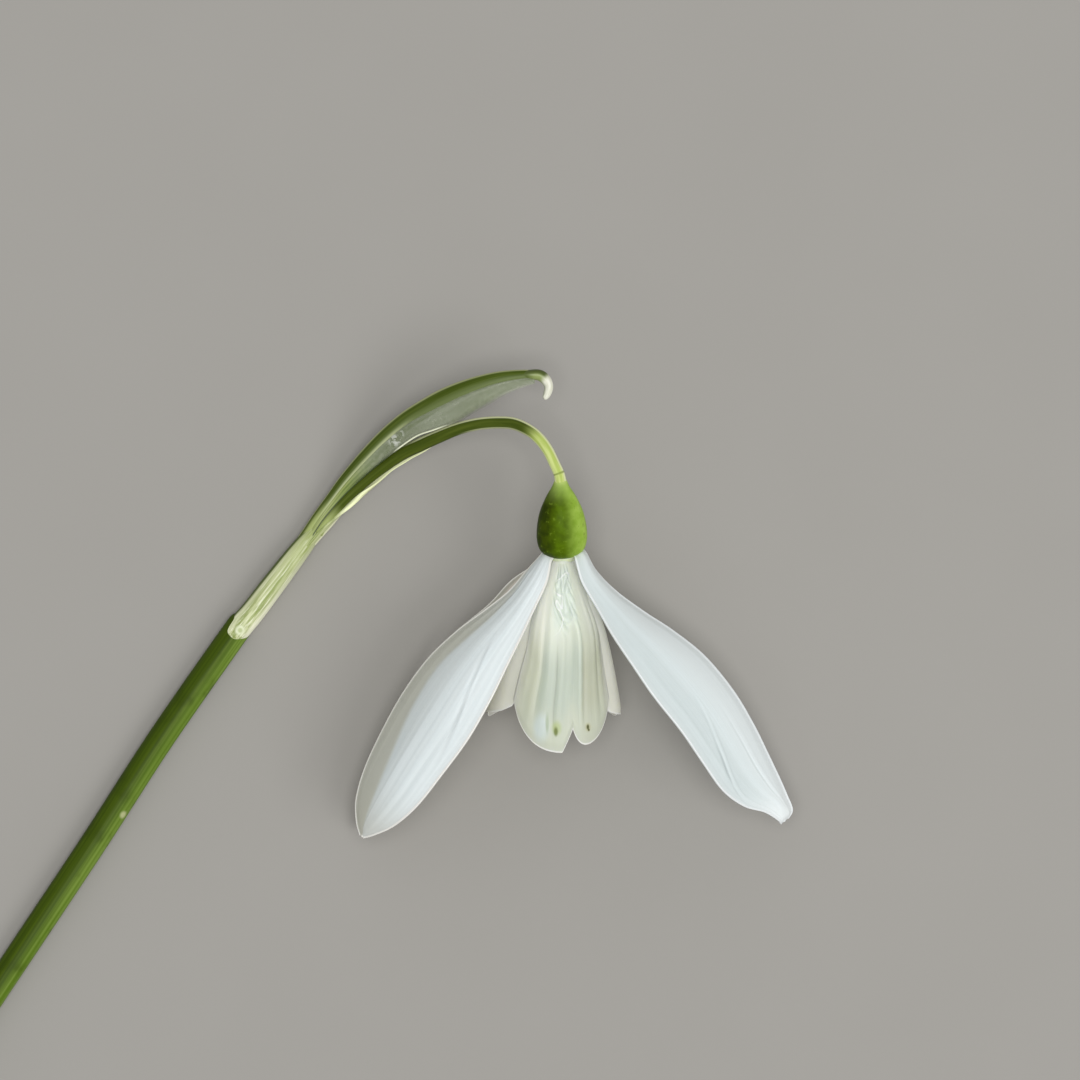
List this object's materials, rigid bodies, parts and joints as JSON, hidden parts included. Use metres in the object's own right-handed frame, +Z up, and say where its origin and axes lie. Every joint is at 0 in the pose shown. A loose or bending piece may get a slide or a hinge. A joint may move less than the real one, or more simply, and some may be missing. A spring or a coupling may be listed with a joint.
{
  "type": "cut snowdrop stem in bloom",
  "caption": "Cut snowdrop lying flat: a bare green stalk, a hooked spathe and one nodding white bloom with long outer segments round a notched inner cup.",
  "frame": {"origin": "on the surface that the stem lies on, under the middle of the part's box", "axes": "+Z up from that surface, +X from the stalk's cut end towards the right outer segment, +Y from the bloom's mouth towards the spathe"},
  "size_m": [0.0854, 0.0754, 0.0161],
  "materials": {
    "stalk": "satin",
    "bract": "satin",
    "pedicel": "satin",
    "ovary": "satin",
    "outer_petal": "satin",
    "inner_petal": "satin",
    "anther": "matte",
    "style": "satin"
  },
  "bodies": {
    "root": {"scape": "stalk", "spathe": "bract", "pedicel": "pedicel", "ovary": "ovary", "outer_segment_left": "outer_petal", "outer_segment_right": "outer_petal", "outer_segment_back": "outer_petal", "inner_segment_front": "inner_petal", "inner_segment_left": "inner_petal", "inner_segment_right": "inner_petal", "stamens": "anther", "style": "style"}
  },
  "joints": []
}
